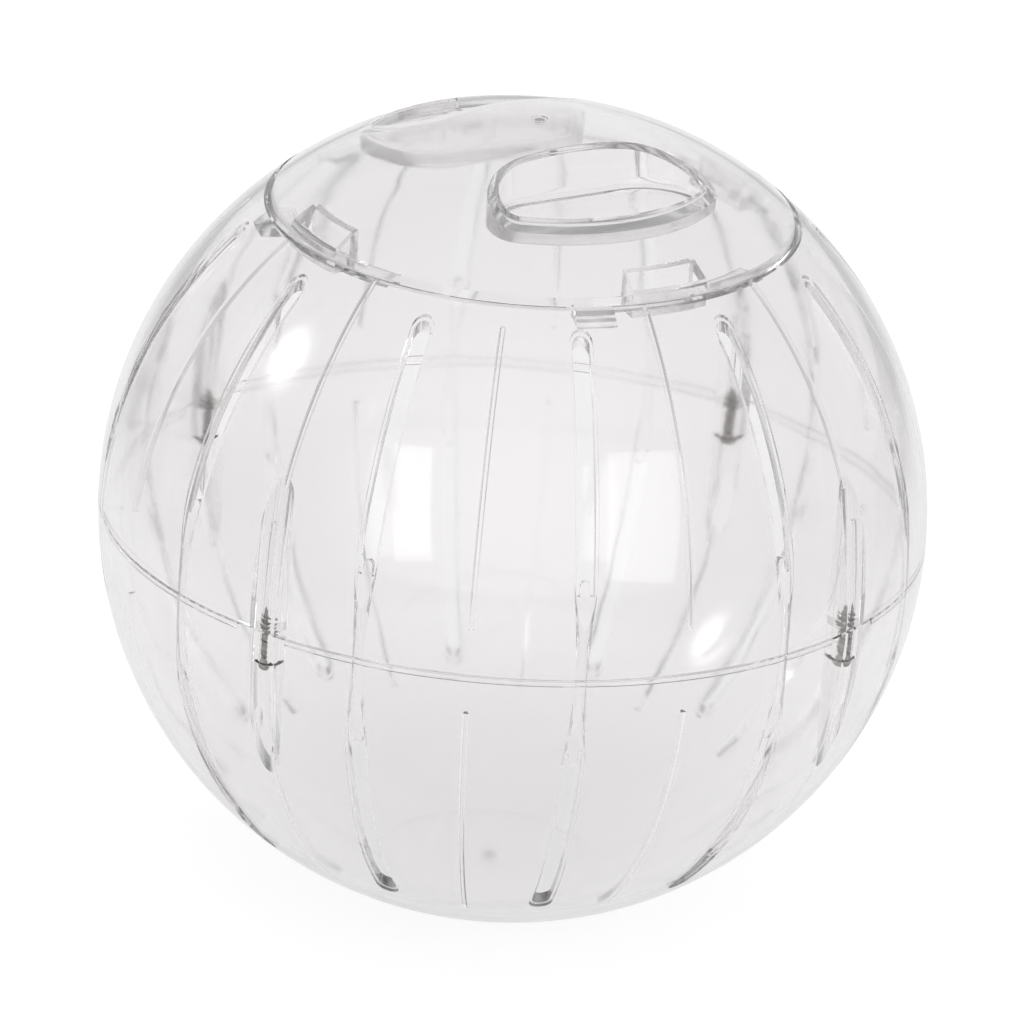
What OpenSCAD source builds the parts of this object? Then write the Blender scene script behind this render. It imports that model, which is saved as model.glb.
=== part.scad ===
// Clear two-shell hamster ball with a twist-off lid and four shell screws.
// Millimetres, Z up through the middle of the lid, origin at the middle of the flat base.
// Angles around Z start at the front (-Y) and grow towards +X.

/* [Ball] */
// Outer diameter of the ball
ball_diameter = 180; // [100:1:320]
// Wall thickness of the moulded shells
wall = 2.2; // [1.2:0.1:5]
// Diameter of the flat that the ball stands on
base_flat_diameter = 48.6; // [20:0.2:90]
// How far the shells and their screws are turned against the lid when it is locked
shell_turn_angle = -22.3; // [-45:0.1:45]

/* [Seam between the shells] */
// How far the upper shell's tongue reaches down into the lower shell
tongue_height = 1.6; // [0.5:0.1:5]
// Thickness of the tongue
tongue_thickness = 1; // [0.5:0.1:3]
// Gap left between the tongue and its rebate
tongue_gap = 0.1; // [0.02:0.01:0.5]
// Distance from a boss at which the tongue stops
tongue_stop_gap = 2.4; // [0.5:0.1:8]

/* [Wide slots] */
// Number of wide slots in each shell
slot_count = 12; // [4:1:24]
// Width of a wide slot
slot_width = 3.7; // [1.5:0.1:6]
// Distance from the edge of the lid opening to the slots' near end, seen from above
slot_opening_gap = 4.5; // [2:0.1:20]
// Distance from the outside of the ball to the slots' pointed end, seen from above
slot_tip_inset = 0.7; // [0.2:0.1:5]
// Angle above the seam at which a slot stops going through the wall
slot_through_angle = 12.4; // [4:0.1:40]
// Depth of the groove that runs on from the slot
slot_groove_depth = 1.1; // [0.3:0.1:3]

/* [Inner ribs] */
// Width of a rib
rib_width = 1.3; // [0.6:0.1:4]
// How far a rib stands out from the inside of the wall
rib_height = 1; // [0.4:0.1:4]
// Angle from the seam to the start of a rib
rib_start_angle = 6.1; // [3:0.1:30]
// Angle from the seam to the lower end of a rib in the lower shell
rib_end_angle = 50.5; // [20:0.1:70]

/* [Shell screws] */
// Distance from the outside of the ball, at the seam, in to a screw
screw_inset = 4.4; // [3:0.1:12]
// Angle around the ball from the first wide slot to the first screw
screw_angle = 45; // [0:0.5:90]
// Diameter of the screw thread
screw_diameter = 2.6; // [1:0.1:4]
// Diameter of the hole under the thread
screw_core_diameter = 1.9; // [0.8:0.1:3.5]
// Length of the screw under its head
screw_length = 12; // [6:0.5:30]
// Length of the screw's pointed tip
screw_tip_length = 1.8; // [0.5:0.1:4]
// Diameter of the screw head
screw_head_diameter = 4.4; // [2:0.1:8]
// Thickness of the screw head
screw_head_height = 1.6; // [0.8:0.1:4]
// Width of the cross recess in the head
recess_width = 0.6; // [0.3:0.1:2]
// Length of the cross recess in the head
recess_length = 2.6; // [1:0.1:5]
// Depth of the cross recess in the head
recess_depth = 1; // [0.3:0.1:2]
// Distance from the seam down to the screw head's seat
screw_seat_depth = 8; // [3:0.1:30]
// Diameter of the boss around a screw
boss_diameter = 7.6; // [4:0.1:16]
// Diameter of the channel that the screw goes up through
channel_diameter = 5.2; // [3:0.1:12]
// Width of that channel between its two flat sides
channel_width = 4.6; // [2.5:0.1:11]
// Diameter of the clearance hole in the lower boss
clearance_hole_diameter = 2.9; // [1.2:0.1:5]
// Wall left outside the upper end of the pilot hole
pilot_hole_cover = 0.45; // [0.2:0.05:2]

/* [Lid opening] */
// Gap around the lid in its opening
opening_gap = 0.45; // [0.1:0.05:2]
// How far the ledge that carries the lid lies below the edge of the opening
ledge_drop = 1.1; // [0.5:0.1:4]
// Thickness of the ledge
ledge_thickness = 1.2; // [0.8:0.1:5]
// Gap between a tab of the lid and the ledge
tab_gap = 0.25; // [0.05:0.01:1]
// Gap above and below the ledge
ledge_gap = 0.08; // [0.02:0.01:0.5]
// Start of the first gap in the ledge, around the shell
ledge_gap_start_angle = 48.4; // [0:0.1:90]
// Width of a gap in the ledge, as an angle
ledge_gap_width_angle = 41.3; // [10:0.1:80]
// Start of the first stop block, around the shell
stop_start_angle = -0.3; // [-20:0.1:90]
// Width of a stop block, as an angle
stop_width_angle = 8.3; // [2:0.1:30]
// Gap between a tab of the lid and a stop block
stop_gap = 0.8; // [0.2:0.05:2]

/* [Lid] */
// Diameter of the lid as a share of the ball's
lid_share = 0.6295; // [0.4:0.0005:0.75]
// Width of the slanting edge around the lid
lid_bevel = 1.1; // [0.2:0.1:3]
// Distance from the edge of the lid in to the tabs that carry its lugs
tab_inset = 6.25; // [4:0.05:12]
// Thickness of a tab
tab_wall = 2.2; // [1:0.1:5]
// Number of locking lugs, tabs and windows
lug_count = 4; // [2:1:8]
// Width of a lug, its tab and its window, as an angle
lug_width_angle = 19; // [5:0.1:40]
// How far a lug stands out from its tab
lug_reach = 4; // [1:0.1:8]
// Thickness of a lug
lug_thickness = 2.2; // [1:0.1:5]
// How far a window reaches out from the tab behind it
window_reach = 4.1; // [1:0.1:8]
// Radial play between a lug and the shell in a gap of the ledge
lug_gap = 0.6; // [0.2:0.1:2]

/* [Finger wells] */
// Distance from the middle to a well's straight side, as a share of the lid's radius
well_near_share = 0.263; // [0.15:0.001:0.4]
// Distance from the middle to a well's round side, as a share of the lid's radius
well_far_share = 0.667; // [0.5:0.001:0.8]
// Half the length of a well, as a share of the lid's radius
well_length_share = 0.425; // [0.2:0.001:0.6]
// Radius of a well's inner corners, as a share of the lid's radius
well_corner_share = 0.215; // [0.05:0.001:0.3]
// Depth of a well's floor below the top of the ball
well_depth = 12.2; // [6:0.1:30]

/* [Gate marks] */
// Diameter of the round moulding mark on the lid and the base
gate_diameter = 3.6; // [1:0.1:8]
// Depth of the moulding mark
gate_depth = 0.4; // [0.1:0.1:1.5]

/* [Hidden] */
$fn = 96;
outer = ball_diameter / 2;
inner = outer - wall;
base_drop = sqrt(outer * outer - base_flat_diameter * base_flat_diameter / 4);
slot_step = 360 / slot_count;
screw_step = 90;
lug_step = 360 / lug_count;
lid_radius = outer * lid_share;
opening_radius = lid_radius + opening_gap;
ledge_height = sqrt(outer * outer - opening_radius * opening_radius) - ledge_drop;
tab_radius = lid_radius - tab_inset;
slot_near_reach = opening_radius + slot_opening_gap;
slot_far_reach = outer - slot_tip_inset;
slot_through_height = outer * sin(slot_through_angle);
rib_start_height = outer * sin(rib_start_angle);
rib_end_reach = inner * cos(rib_end_angle);
screw_reach = outer - screw_inset;
pilot_hole_reach = screw_reach + screw_core_diameter / 2 + pilot_hole_cover;
pilot_hole_height = sqrt(outer * outer - pilot_hole_reach * pilot_hole_reach);
well_near_reach = lid_radius * well_near_share;
well_far_reach = lid_radius * well_far_share;
well_half_length = lid_radius * well_length_share;
well_corner = lid_radius * well_corner_share;
well_floor_height = outer - well_depth - wall;
ledge_bore_radius = tab_radius + tab_gap;
ledge_bottom = ledge_height - ledge_thickness;
lug_top = ledge_bottom - ledge_gap;
lug_bottom = lug_top - lug_thickness;
rim_bottom = ledge_height + ledge_gap;
gap_radius = tab_radius + lug_reach + lug_gap;
weld = wall / 8;
clear = ball_diameter;

// A wedge of space around Z that starts at one angle and spans another (under 180 degrees).
module wedge(start, span, low, high) {
    translate([0, 0, low])
        linear_extrude(high - low)
            polygon([
                [0, 0],
                [clear * sin(start), -clear * cos(start)],
                [clear * sin(start + span / 2) / cos(span / 2), -clear * cos(start + span / 2) / cos(span / 2)],
                [clear * sin(start + span), -clear * cos(start + span)]
            ]);
}

// A ring around Z.
module ring(outer_r, inner_r, low, high) {
    translate([0, 0, low])
        difference() {
            cylinder(r = outer_r, h = high - low);
            translate([0, 0, -weld])
                cylinder(r = inner_r, h = high - low + 2 * weld);
        }
}

// The vertical cutter of one wide slot, for the shell above the seam, pointing to the front.
module slot_cutter() {
    difference() {
        union() {
            translate([-slot_width / 2, -slot_far_reach + slot_width / 2, 0])
                cube([slot_width, slot_far_reach - slot_near_reach - slot_width, clear / 2]);
            for (reach = [slot_near_reach + slot_width / 2, slot_far_reach - slot_width / 2])
                translate([0, -reach, 0])
                    cylinder(r = slot_width / 2, h = clear / 2);
        }
        intersection() {
            sphere(r = outer - slot_groove_depth);
            translate([-clear / 2, -clear / 2, -weld])
                cube([clear, clear, slot_through_height + weld]);
        }
    }
}

// One inner rib above the seam, pointing to the front, up to the given height.
module rib(low, high, near) {
    intersection() {
        difference() {
            sphere(r = inner + weld);
            sphere(r = inner - rib_height);
        }
        translate([-rib_width / 2, -outer, low])
            cube([rib_width, outer - near, high - low]);
    }
}

module at_screw(index) {
    rotate([0, 0, shell_turn_angle + screw_angle + index * screw_step])
        translate([0, -screw_reach, 0])
            children();
}

module upper_half() {
    difference() {
        union() {
            difference() {
                intersection() {
                    sphere(r = outer);
                    translate([-outer, -outer, 0])
                        cube([ball_diameter, ball_diameter, outer]);
                }
                sphere(r = inner);
            }
            intersection() {
                ring(outer, ledge_bore_radius, ledge_bottom, ledge_height);
                sphere(r = inner + weld);
            }
            rotate([0, 0, shell_turn_angle])
                for (i = [0 : lug_count - 1])
                    intersection() {
                        ring(outer, tab_radius + stop_gap, lug_bottom, ledge_bottom + weld);
                        sphere(r = inner + weld);
                        wedge(stop_start_angle + i * lug_step, stop_width_angle, 0, outer);
                    }
            rotate([0, 0, shell_turn_angle])
                for (i = [0 : slot_count - 1])
                    rotate([0, 0, (i + 1 / 2) * slot_step])
                        rib(rib_start_height, ledge_bottom + weld, ledge_bore_radius);
            for (i = [0 : 3])
                intersection() {
                    at_screw(i)
                        cylinder(r = boss_diameter / 2, h = outer);
                    sphere(r = inner + weld);
                }
            difference() {
                ring(inner + tongue_thickness, inner, -tongue_height, weld);
                for (i = [0 : 3])
                    at_screw(i)
                        translate([0, 0, -outer])
                            cylinder(r = boss_diameter / 2 + tongue_stop_gap, h = ball_diameter);
            }
        }
        translate([0, 0, ledge_height])
            cylinder(r = opening_radius, h = outer);
        rotate([0, 0, shell_turn_angle])
            for (i = [0 : lug_count - 1])
                intersection() {
                    translate([0, 0, lug_bottom - weld])
                        cylinder(r = gap_radius, h = outer);
                    wedge(ledge_gap_start_angle + i * lug_step, ledge_gap_width_angle, 0, clear);
                }
        rotate([0, 0, shell_turn_angle])
            for (i = [0 : slot_count - 1])
                rotate([0, 0, i * slot_step])
                    slot_cutter();
        for (i = [0 : 3])
            at_screw(i)
                translate([0, 0, -weld])
                    cylinder(r = screw_core_diameter / 2, h = pilot_hole_height + weld);
    }
}

module lower_half() {
    difference() {
        union() {
            difference() {
                intersection() {
                    sphere(r = outer);
                    translate([-outer, -outer, -base_drop])
                        cube([ball_diameter, ball_diameter, base_drop]);
                }
                intersection() {
                    sphere(r = inner);
                    translate([-outer, -outer, -base_drop + wall])
                        cube([ball_diameter, ball_diameter, ball_diameter]);
                }
            }
            rotate([0, 0, shell_turn_angle])
                for (i = [0 : slot_count - 1])
                    rotate([0, 0, (i + 1 / 2) * slot_step])
                        rotate([0, 180, 0])
                            rib(rib_start_height, outer, rib_end_reach);
            for (i = [0 : 3])
                intersection() {
                    at_screw(i)
                        translate([0, 0, -outer])
                            cylinder(r = boss_diameter / 2, h = outer);
                    sphere(r = inner + weld);
                }
        }
        difference() {
            ring(inner + tongue_thickness + tongue_gap, inner - rib_height, -tongue_height - tongue_gap, weld);
            for (i = [0 : 3])
                at_screw(i)
                    translate([0, 0, -outer])
                        cylinder(r = boss_diameter / 2 + tongue_stop_gap - tongue_gap, h = ball_diameter);
        }
        rotate([0, 0, shell_turn_angle])
            for (i = [0 : slot_count - 1])
                rotate([0, 0, i * slot_step])
                    rotate([0, 180, 0])
                        slot_cutter();
        for (i = [0 : 3])
            at_screw(i) {
                intersection() {
                    translate([0, 0, -outer])
                        cylinder(r = channel_diameter / 2, h = outer - screw_seat_depth);
                    translate([-channel_width / 2, -channel_diameter, -outer])
                        cube([channel_width, 2 * channel_diameter, outer]);
                }
                translate([0, 0, -outer])
                    cylinder(r = clearance_hole_diameter / 2, h = outer + weld);
            }
        translate([0, 0, -base_drop - weld])
            cylinder(r = gate_diameter / 2, h = gate_depth + weld);
    }
}

// The flat shape of a finger well on the front side, grown outwards by the given amount.
module well_shape(grow) {
    middle = well_near_reach + well_corner;
    intersection() {
        circle(r = well_far_reach + grow);
        union() {
            for (side = [-1, 1])
                translate([side * (well_half_length - well_corner), -middle])
                    circle(r = well_corner + grow);
            translate([-well_half_length + well_corner, -middle])
                square([2 * (well_half_length - well_corner), well_corner + grow]);
            translate([-well_half_length - grow, -well_far_reach - grow])
                square([2 * (well_half_length + grow), well_far_reach + grow - middle]);
        }
    }
}

module lid_body() {
    difference() {
        union() {
            difference() {
                intersection() {
                    sphere(r = outer);
                    union() {
                        translate([0, 0, rim_bottom])
                            cylinder(r1 = lid_radius, r2 = lid_radius - lid_bevel, h = lid_bevel * 2);
                        translate([0, 0, rim_bottom + lid_bevel * 2])
                            cylinder(r = lid_radius - lid_bevel, h = outer);
                    }
                }
                sphere(r = inner);
            }
            for (i = [0 : lug_count - 1])
                intersection() {
                    sphere(r = inner + weld);
                    union() {
                        ring(tab_radius, tab_radius - tab_wall, lug_bottom, outer);
                        ring(tab_radius + lug_reach, tab_radius - tab_wall / 2, lug_bottom, lug_top);
                    }
                    wedge(i * lug_step - lug_width_angle / 2, lug_width_angle, 0, outer);
                }
            intersection() {
                sphere(r = inner + weld);
                for (turn = [0, 180])
                    rotate([0, 0, turn])
                        translate([0, 0, well_floor_height])
                            linear_extrude(outer - well_floor_height)
                                well_shape(wall);
            }
        }
        for (turn = [0, 180])
            rotate([0, 0, turn])
                translate([0, 0, well_floor_height + wall])
                    linear_extrude(outer)
                        well_shape(0);
        for (i = [0 : lug_count - 1])
            intersection() {
                ring(tab_radius + window_reach, tab_radius, rim_bottom - weld, outer);
                wedge(i * lug_step - lug_width_angle / 2, lug_width_angle, 0, outer);
            }
        translate([0, 0, outer - gate_depth])
            cylinder(r = gate_diameter / 2, h = wall);
    }
}

module screw_body() {
    translate([0, 0, -screw_seat_depth])
        difference() {
            union() {
                translate([0, 0, -screw_head_height])
                    cylinder(r = screw_head_diameter / 2, h = screw_head_height);
                cylinder(r = screw_diameter / 2, h = screw_seat_depth);
                cylinder(r = screw_core_diameter / 2, h = screw_length - screw_tip_length);
                translate([0, 0, screw_length - screw_tip_length])
                    cylinder(r1 = screw_core_diameter / 2, r2 = screw_core_diameter / 8, h = screw_tip_length);
            }
            for (turn = [0, 90])
                rotate([0, 0, turn])
                    translate([-recess_length / 2, -recess_width / 2, -screw_head_height - weld])
                        cube([recess_length, recess_width, recess_depth + weld]);
        }
}

module upper_shell() {
    color([0.85, 0.9, 0.95, 0.35])
        translate([0, 0, base_drop])
            upper_half();
}

module lower_shell() {
    color([0.8, 0.87, 0.95, 0.35])
        translate([0, 0, base_drop])
            lower_half();
}

module lid() {
    color([0.7, 0.85, 1, 0.5])
        translate([0, 0, base_drop])
            lid_body();
}

module shell_screw(index) {
    color([0.6, 0.6, 0.62])
        translate([0, 0, base_drop])
            at_screw(index)
                screw_body();
}

upper_shell();
lower_shell();
lid();
shell_screw(3);  // screw_front_left
shell_screw(0);  // screw_front_right
shell_screw(1);  // screw_back_right
shell_screw(2);  // screw_back_left
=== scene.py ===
"""Clear hamster ball: the looks of its two shells, lid and screws, with their stage, lamps and camera."""

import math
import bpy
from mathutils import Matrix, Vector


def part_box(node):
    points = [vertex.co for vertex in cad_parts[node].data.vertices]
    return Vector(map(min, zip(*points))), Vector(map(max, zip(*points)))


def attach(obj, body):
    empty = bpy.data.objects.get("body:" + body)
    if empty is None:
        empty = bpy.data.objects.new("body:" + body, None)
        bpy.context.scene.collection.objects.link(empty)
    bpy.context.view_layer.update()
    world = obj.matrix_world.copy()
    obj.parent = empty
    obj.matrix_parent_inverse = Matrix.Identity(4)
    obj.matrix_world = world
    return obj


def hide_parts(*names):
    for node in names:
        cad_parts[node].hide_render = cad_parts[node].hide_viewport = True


bl_info = {
    "name": "Clear Hamster Ball",
    "version": (1, 0, 0),
    "blender": (4, 5, 0),
    "location": "View3D > Sidebar > Hamster Ball",
    "description": "Builds a clear two-shell hamster ball with a twist-off lid on its packed frame",
    "category": "Add Mesh",
}

from functools import partial

import bmesh
import bpy
import numpy as np
from bpy.props import FloatProperty, FloatVectorProperty, IntProperty, PointerProperty
from mathutils import Matrix, Vector

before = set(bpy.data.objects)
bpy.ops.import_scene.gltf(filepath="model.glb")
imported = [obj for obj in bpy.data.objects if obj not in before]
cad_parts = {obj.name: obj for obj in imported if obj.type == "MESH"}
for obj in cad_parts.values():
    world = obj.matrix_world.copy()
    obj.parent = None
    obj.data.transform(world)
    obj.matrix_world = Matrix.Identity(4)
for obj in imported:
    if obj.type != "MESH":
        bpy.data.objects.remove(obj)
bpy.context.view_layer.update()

MM = 1000.0
SHELL_LOW, SHELL_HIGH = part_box("lower_shell")
BALL_RADIUS = (SHELL_HIGH.x - SHELL_LOW.x) / 2
SEGMENTS = 240
STEP = math.radians(1.5)

# Shading, in millimetres, shares and radians: a corner this near to a sphere, on a face this straight across
# its radius, takes the sphere's normal. Other corners are smoothed over edges shallower than the angle.
ON_SPHERE = 0.03
ACROSS_RADIUS = 0.97
SHALLOW = math.radians(20)

# Cutters, in millimetres: how far they reach past the face that they cut, past the wall and past the ball.
PAST_FACE = 1.0
PAST_WALL = 5.0
PAST_BALL = 200.0
# How far an upper rib runs on over the ledge's underside, in radians.
RIB_PAST = 0.01
# Radii on either side of the ledge, for sectors that are cut back to the wall or run free inside it.
LEDGE_INSIDE, LEDGE_OUTSIDE = 40.0, 60.0
# Angles of the stop blocks and of the gaps in the ledge, from a slot of the upper shell.
STOP_START, STOP_WIDTH = math.radians(-0.3), math.radians(8.3)
GAP_START, GAP_WIDTH = math.radians(48.4), math.radians(41.3)

# Screws: the flat end of the point and the narrowest thread as shares of the core and the thread, the recess
# as shares of the head's diameter and height, and how full the pan head's dome is.
POINT_END, THREAD_END = 0.08, 0.12
RECESS_LENGTH, RECESS_WIDTH, RECESS_DEPTH = 0.6, 0.16, 1.2
DOME = 2.6

# Clear plastic: the depths under the outer surface, in metres, below which the inner side's waves and haze
# are full and above which only OUTER_SHARE of them is left, and the share of lamp light that a side lets in.
INNER_SIDE, OUTER_SIDE, OUTER_SHARE = 0.0015, 0.0008, 0.1
LAMP_WAY = 0.985

# Camera, fitted to the photograph: its turn, rise and roll, its distance in radii of the ball, and its focal
# length and the shift of its middle in pixels of the picture.
TURN, RISE, ROLL = math.radians(-32.9), 0.4, 0.0691
DISTANCE = 15.86
PICTURE, SENSOR = 1024, 36.0
FOCAL_PIXELS, SHIFT_X, SHIFT_Y = 6566.4, -0.77, -3.97

# Stage: half the floor's side and its fall below the ball in metres, the distances to the side over which
# painted shade darkens it and the level that shade takes it to, and how bright it shows to the camera and
# through the plastic.
FLOOR_HALF, FLOOR_FALL = 6, 0.00002
FADE_START, FADE_END, FADE_LEVEL = 0.2, 0.5, 0.64
FLOOR_SEEN, FLOOR_THROUGH = 0.74, 0.57
# Levels of the room, from the side that the camera looks at to the side that it stands on.
ROOM = ((0.1, 0.9), (0.45, 0.36), (0.75, 0.48), (1.0, 1.15))
OVERHEAD_SIZE, OVERHEAD_HEIGHT, OVERHEAD_WATTS = 1.6, 1.8, 9.0
# The lamps that show in the plastic: how many degrees they stand to the right of the camera and above it,
# seen from the ball, how many degrees wide and tall they look, and their level.
LAMP_REACH = 1.2
LAMPS = (
    ("Front Left", "RECTANGLE", -26.4, 1.0, 10.2, 29.0, 1.1),
    ("Front Right", "RECTANGLE", 34.9, -2.2, 19.2, 32.5, 1.2),
    ("Upper Left", "ELLIPSE", -74.5, 32.7, 26.0, 32.0, 9.0),
)


def length(name, text, default):
    """A length in metres that a user would change."""
    return FloatProperty(name=name, description=text, default=default, unit="LENGTH", precision=5)


def angle(name, text, degrees):
    """An angle that a user would change."""
    return FloatProperty(name=name, description=text, default=math.radians(degrees), unit="ROTATION")


def colour(name, text, default):
    """A colour that a user would change."""
    return FloatVectorProperty(name=name, description=text, default=default, subtype="COLOR", min=0, max=1)


def number(name, text, default):
    """A plain number that a user would change."""
    return FloatProperty(name=name, description=text, default=default, min=0)


class BallSizes(bpy.types.PropertyGroup):
    """Sizes of the shells."""

    radius: length("Radius", "Outer radius of the ball", BALL_RADIUS)
    wall: length("Wall", "Thickness of the moulded walls", 0.0022)
    base_radius: length("Base radius", "Radius of the flat that the ball stands on", 0.0243)
    shell_turn: angle("Shell turn", "How far the shells are turned against the locked lid", -22.3)
    seam_gap: length("Seam gap", "Air between the two shells at the seam", 0.00006)
    seam_edge: length("Seam edge", "Size of the broken edge of each shell along the seam", 0.00025)
    tongue_height: length("Tongue height", "How far the upper shell's tongue reaches down", 0.0016)
    tongue_thickness: length("Tongue thickness", "Thickness of the tongue", 0.001)
    tongue_play: length("Tongue play", "Air between the tongue and its rebate", 0.0001)
    tongue_stop: length("Tongue stop", "Distance from a screw boss to the tongue's end", 0.0024)
    opening_radius: length("Opening radius", "Radius of the lid opening", 0.057105)
    ledge_height: length("Ledge height", "Height of the ledge above the ball's middle", 0.068463)
    ledge_bore: length("Ledge bore", "Inner radius of the ledge", 0.050655)
    ledge_wall: length("Ledge wall", "Thickness of the ledge", 0.0012)
    stop_bore: length("Stop bore", "Inner radius of the stop blocks", 0.051205)
    edge: length("Edge", "Rounding of the moulded edges", 0.0003)


class SlotSizes(bpy.types.PropertyGroup):
    """Sizes of the slots and the ribs between them."""

    count: IntProperty(name="Slots", description="Slots in each shell", default=12, min=3)
    width: length("Slot width", "Width of a slot", 0.0037)
    near: length("Near end", "Distance from the middle line to a slot's near end", 0.061605)
    far: length("Far end", "Distance from the middle line to a slot's pointed end", 0.0893)
    through: length("Through height", "Height over the seam where a slot goes through the wall", 0.0176)
    groove: length("Groove depth", "Depth of the groove that runs on from a slot", 0.0011)
    tongue_width: length("Tab width", "Width of the round-ended tab at a slot's lower end", 0.0021)
    tongue_height: length("Tab height", "Height of that tab", 0.0031)
    rib_width: length("Rib width", "Width of an inner rib at the wall", 0.0016)
    rib_top: length("Rib top", "Width of an inner rib at its top", 0.0006)
    edge_width: length("Edge width", "Width of the broken edge around a slot", 0.0006)
    edge_depth: length("Edge depth", "Depth of that edge", 0.0005)
    rib_height: length("Rib height", "How far a rib stands out from the wall", 0.001)
    rib_start: angle("Rib start", "Angle from the seam to a rib's end", 6.1)
    rib_end: angle("Rib end", "Angle from the seam to a lower rib's far end", 50.5)


class LidSizes(bpy.types.PropertyGroup):
    """Sizes of the lid."""

    radius: length("Lid radius", "Radius of the lid's lower edge", 0.056655)
    bevel: length("Bevel", "Width of the lid's slanting edge", 0.0011)
    tab: length("Tab radius", "Outer radius of the tabs that carry the lugs", 0.050405)
    lug_count: IntProperty(name="Lugs", description="Locking lugs and windows", default=4, min=1)
    lug_width: angle("Lug width", "Width of a lug and its window", 19)
    lug_reach: length("Lug reach", "How far a lug stands out from its tab", 0.004)
    lug_height: length("Lug height", "Thickness of a lug", 0.0022)
    window_reach: length("Window reach", "How far a window reaches out from the tab", 0.0041)
    ledge_play: length("Ledge play", "Air above and below the ledge", 0.00008)
    well_near: length("Well near side", "Distance from the middle line to a well's straight side", 0.0149)
    well_far: length("Well far side", "Distance from the middle line to a well's round side", 0.0378)
    well_half: length("Well half length", "Half the length of a well", 0.0241)
    well_corner: length("Well corner", "Radius of a well's corners at its round side", 0.0045)
    well_depth: length("Well depth", "Depth of a well's floor below the top of the ball", 0.0122)
    well_fillet: length("Well fillet", "Rounding around a well's floor", 0.0022)
    well_lip: length("Well lip", "Rounding around a well's upper edge", 0.0003)
    well_heel: length("Well heel", "Rounding around the underside of a well", 0.0005)
    gate_radius: length("Gate mark radius", "Radius of the moulding mark", 0.0018)
    gate_depth: length("Gate mark depth", "Depth of the moulding mark", 0.0004)


class ScrewSizes(bpy.types.PropertyGroup):
    """Sizes of the shell screws and their bosses."""

    reach: length("Reach", "Distance from the middle line to a screw", 0.0856)
    start: angle("First screw", "Angle from the first slot to the first screw", 45)
    thread: length("Thread diameter", "Outer diameter of the thread", 0.0026)
    core: length("Core diameter", "Diameter under the thread", 0.0018)
    pitch: length("Pitch", "Pitch of the thread", 0.0011)
    shank: length("Shank length", "Length under the head", 0.012)
    tip: length("Tip length", "Length of the pointed tip", 0.0018)
    head: length("Head diameter", "Diameter of the head", 0.0044)
    head_height: length("Head height", "Thickness of the head", 0.0016)
    seat: length("Seat depth", "Distance from the seam down to the head's seat", 0.008)
    boss: length("Boss diameter", "Diameter of a screw boss", 0.0076)
    channel: length("Channel diameter", "Diameter of the channel up to the screw head", 0.0052)
    clearance: length("Clearance hole", "Diameter of the hole in the lower boss", 0.0029)
    pilot: length("Pilot hole", "Diameter of the hole in the upper boss", 0.0019)
    pilot_height: length("Pilot height", "Height of the pilot hole's end over the seam", 0.023)


class Finish(bpy.types.PropertyGroup):
    """Colours, and how clear and even the plastic is."""

    plastic: colour("Clear plastic", "Tint of the clear plastic", (0.988, 0.979, 0.981))
    # The moulding marks' colour is painted shade, which darkens their frosted dots of clear plastic.
    mark: colour("Moulding mark", "Tint of the frosted moulding marks", (0.4, 0.38, 0.37))
    mark_radius: length("Mark radius", "Radius of the frosted dot of a moulding mark", 0.0012)
    haze: number("Haze", "Roughness of the inner side of the plastic", 0.065)
    wave_scale: number("Wave scale", "Fineness of the waves on the inner side", 75.0)
    wave_depth: length("Wave depth", "Depth of those waves", 0.00007)
    depth_tint: colour("Depth tint", "Tint of light after a long way in the plastic", (0.86, 0.86, 0.865))
    tint_strength: number("Depth tint strength", "Absorption per metre", 18.0)
    steel: colour("Screw steel", "Colour of the plated screws", (0.42, 0.40, 0.38))
    floor: colour("Floor", "Colour of the floor", (0.38, 0.38, 0.38))


# Meshes


def mm(value):
    """Metres to the millimetres that the shapes are worked out in."""
    return value * MM


def mesh_object(name, points, faces):
    """A closed mesh with its faces turned outwards."""
    mesh = bpy.data.meshes.new(name)
    mesh.from_pydata([tuple(p) for p in points], [], [tuple(f) for f in faces])
    work = bmesh.new()
    work.from_mesh(mesh)
    bmesh.ops.remove_doubles(work, verts=work.verts, dist=1e-5)
    bmesh.ops.recalc_face_normals(work, faces=work.faces)
    work.to_mesh(mesh)
    work.free()
    piece = bpy.data.objects.new(name, mesh)
    bpy.context.scene.collection.objects.link(piece)
    return piece


def drop(piece):
    """Removes a piece that isn't needed any more."""
    mesh = piece.data
    bpy.data.objects.remove(piece)
    if mesh.users == 0:
        bpy.data.meshes.remove(mesh)


def arc(radius, start, end, middle=(0.0, 0.0), step=STEP):
    """Points of an arc, by angles from the first axis."""
    count = max(2, math.ceil(abs(end - start) / step) + 1)
    turns = [start + (end - start) * i / (count - 1) for i in range(count)]
    return [(middle[0] + radius * math.cos(t), middle[1] + radius * math.sin(t)) for t in turns]


def lathe(name, profile, segments=SEGMENTS):
    """A closed solid of revolution from a closed profile of (reach, height) points."""
    points, rings = [], []
    for reach, height in profile:
        if reach < 1e-6:
            rings.append([len(points)] * segments)
            points.append((0.0, 0.0, height))
        else:
            rings.append(list(range(len(points), len(points) + segments)))
            for i in range(segments):
                turn = 2 * math.pi * i / segments
                points.append((reach * math.cos(turn), reach * math.sin(turn), height))
    faces = []
    for k, ring in enumerate(rings):
        after = rings[(k + 1) % len(rings)]
        for i in range(segments):
            j = (i + 1) % segments
            face = list(dict.fromkeys((ring[i], ring[j], after[j], after[i])))
            if len(face) > 2:
                faces.append(face)
    return mesh_object(name, points, faces)


def loft(name, rings):
    """A closed solid through rings of the same number of points, capped at both ends."""
    size = len(rings[0])
    points = [p for ring in rings for p in ring]
    faces = []
    for k in range(len(rings) - 1):
        for i in range(size):
            j = (i + 1) % size
            faces.append((k * size + i, k * size + j, (k + 1) * size + j, (k + 1) * size + i))
    faces.append(tuple(range(size))[::-1])
    faces.append(tuple(range((len(rings) - 1) * size, len(rings) * size)))
    return mesh_object(name, points, faces)


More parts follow.
